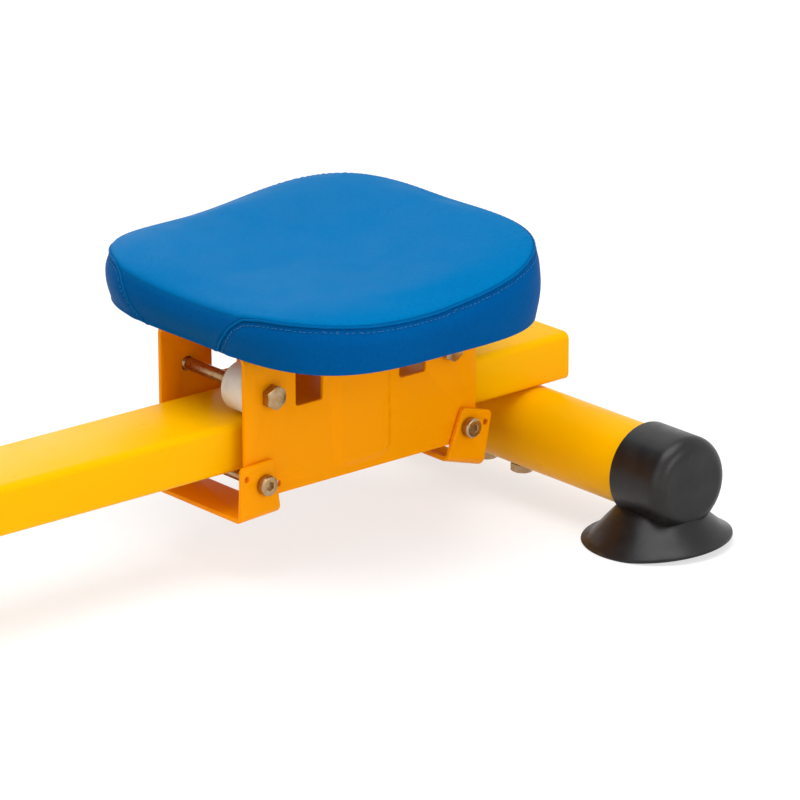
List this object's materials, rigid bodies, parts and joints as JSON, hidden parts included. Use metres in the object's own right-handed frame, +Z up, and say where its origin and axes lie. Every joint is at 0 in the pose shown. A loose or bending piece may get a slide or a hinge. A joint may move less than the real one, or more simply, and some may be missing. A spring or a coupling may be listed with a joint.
{
  "type": "rowing machine",
  "caption": "Light free-standing rower: a rolling upholstered seat on a flat rail, tubular stabilisers with suction feet, swinging damped arms and tilting foot pedals.",
  "frame": {"origin": "on the floor, midway between the front and rear stabilisers, on the rail's centre line", "axes": "+X towards the rail's rear end, +Y towards the rower's right, +Z up"},
  "size_m": [1.24, 0.535, 0.4755],
  "materials": {
    "yellow_powder_coat": "smooth glossy powder coat",
    "zinc_steel": "bright zinc plating",
    "rubber": "moulded black rubber",
    "white_nylon": "off-white nylon",
    "blue_vinyl": "grained blue upholstery vinyl",
    "plywood": "plain plywood",
    "black_plastic": "fine matt moulding",
    "black_foam": "closed-cell foam",
    "black_webbing": "woven webbing",
    "black_paint": "gloss black paint"
  },
  "bodies": {
    "frame": {"arm_crossmember": "yellow_powder_coat", "front_left_foot": "rubber", "front_right_foot": "rubber", "front_stabiliser": "yellow_powder_coat", "front_stabiliser_bolt_left": "zinc_steel", "front_stabiliser_bolt_right": "zinc_steel", "left_arm_pivot_bolt": "zinc_steel", "left_cylinder_bolt": "zinc_steel", "main_rail": "yellow_powder_coat", "pedal_axle": "zinc_steel", "pedal_axle_nut_left": "zinc_steel", "pedal_axle_nut_right": "zinc_steel", "pedal_bracket": "yellow_powder_coat", "rail_front_plug": "black_plastic", "rail_rear_plug": "black_plastic", "rear_left_foot": "rubber", "rear_right_foot": "rubber", "rear_stabiliser": "yellow_powder_coat", "rear_stabiliser_bolt_left": "zinc_steel", "rear_stabiliser_bolt_right": "zinc_steel", "right_arm_pivot_bolt": "zinc_steel", "right_cylinder_bolt": "zinc_steel"},
    "carriage": {"carriage_bracket": "yellow_powder_coat", "front_retainer": "yellow_powder_coat", "rear_retainer": "yellow_powder_coat", "front_axle": "zinc_steel", "front_axle_nut": "zinc_steel", "rear_axle": "zinc_steel", "rear_axle_nut": "zinc_steel", "front_retainer_bolt": "zinc_steel", "front_retainer_nut": "zinc_steel", "rear_retainer_bolt": "zinc_steel", "rear_retainer_nut": "zinc_steel", "seat_board": "plywood", "seat_cushion": "blue_vinyl", "seat_screw_1": "zinc_steel", "seat_screw_2": "zinc_steel", "seat_screw_3": "zinc_steel", "seat_screw_4": "zinc_steel"},
    "front_roller": {"front_roller": "white_nylon"},
    "rear_roller": {"rear_roller": "white_nylon"},
    "left_arm": {"left_arm": "yellow_powder_coat", "left_grip": "black_foam", "left_arm_bush": "white_nylon"},
    "left_cylinder": {"left_cylinder": "black_paint"},
    "left_rod": {"left_rod": "zinc_steel", "left_rod_bolt": "zinc_steel"},
    "left_pedal": {"left_pedal": "black_plastic", "left_pedal_strap": "black_webbing"},
    "right_arm": {"right_arm": "yellow_powder_coat", "right_grip": "black_foam", "right_arm_bush": "white_nylon"},
    "right_cylinder": {"right_cylinder": "black_paint"},
    "right_rod": {"right_rod": "zinc_steel", "right_rod_bolt": "zinc_steel"},
    "right_pedal": {"right_pedal": "black_plastic", "right_pedal_strap": "black_webbing"}
  },
  "joints": [
    {"name": "seat_slide", "type": "slide", "parent": "frame", "child": "carriage", "axis": [-1, 0, 0], "range_m": [-0.028, 0.45]},
    {"name": "front_roller_spin", "type": "hinge", "parent": "carriage", "child": "front_roller", "pos_m": [0.3612, 0, 0.1106], "axis": [0, -1, 0], "range_deg": [-108, 1720]},
    {"name": "rear_roller_spin", "type": "hinge", "parent": "carriage", "child": "rear_roller", "pos_m": [0.4956, 0, 0.1106], "axis": [0, -1, 0], "range_deg": [-108, 1720]},
    {"name": "left_arm_swing", "type": "hinge", "parent": "frame", "child": "left_arm", "pos_m": [-0.4, -0.171, 0.1176], "axis": [0, 1, 0], "range_deg": [0, 55]},
    {"name": "left_cylinder_swing", "type": "hinge", "parent": "frame", "child": "left_cylinder", "pos_m": [-0.56, -0.141, 0.086], "axis": [0, 1, 0], "range_deg": [0, 15]},
    {"name": "left_rod_slide", "type": "slide", "parent": "left_cylinder", "child": "left_rod", "axis": [0.7614, 0, 0.6483], "range_m": [0, 0.066]},
    {"name": "left_pedal_tilt", "type": "hinge", "parent": "frame", "child": "left_pedal", "pos_m": [-0.495, -0.074, 0.1353], "axis": [0, 1, 0], "range_deg": [0, 25]},
    {"name": "right_arm_swing", "type": "hinge", "parent": "frame", "child": "right_arm", "pos_m": [-0.4, 0.171, 0.1176], "axis": [0, 1, 0], "range_deg": [0, 55]},
    {"name": "right_cylinder_swing", "type": "hinge", "parent": "frame", "child": "right_cylinder", "pos_m": [-0.56, 0.141, 0.086], "axis": [0, 1, 0], "range_deg": [0, 15]},
    {"name": "right_rod_slide", "type": "slide", "parent": "right_cylinder", "child": "right_rod", "axis": [0.7614, 0, 0.6483], "range_m": [0, 0.066]},
    {"name": "right_pedal_tilt", "type": "hinge", "parent": "frame", "child": "right_pedal", "pos_m": [-0.495, 0.074, 0.1353], "axis": [0, 1, 0], "range_deg": [0, 25]}
  ],
  "couplings": [
    {"joint": "front_roller_spin", "follows": "seat_slide", "rad_per_m": 66.667},
    {"joint": "rear_roller_spin", "follows": "seat_slide", "rad_per_m": 66.667},
    {"joint": "left_cylinder_swing", "follows": "left_arm_swing", "ratio": 0.255},
    {"joint": "left_rod_slide", "follows": "left_arm_swing", "m_per_rad": 0.067},
    {"joint": "right_cylinder_swing", "follows": "right_arm_swing", "ratio": 0.255},
    {"joint": "right_rod_slide", "follows": "right_arm_swing", "m_per_rad": 0.067}
  ]
}
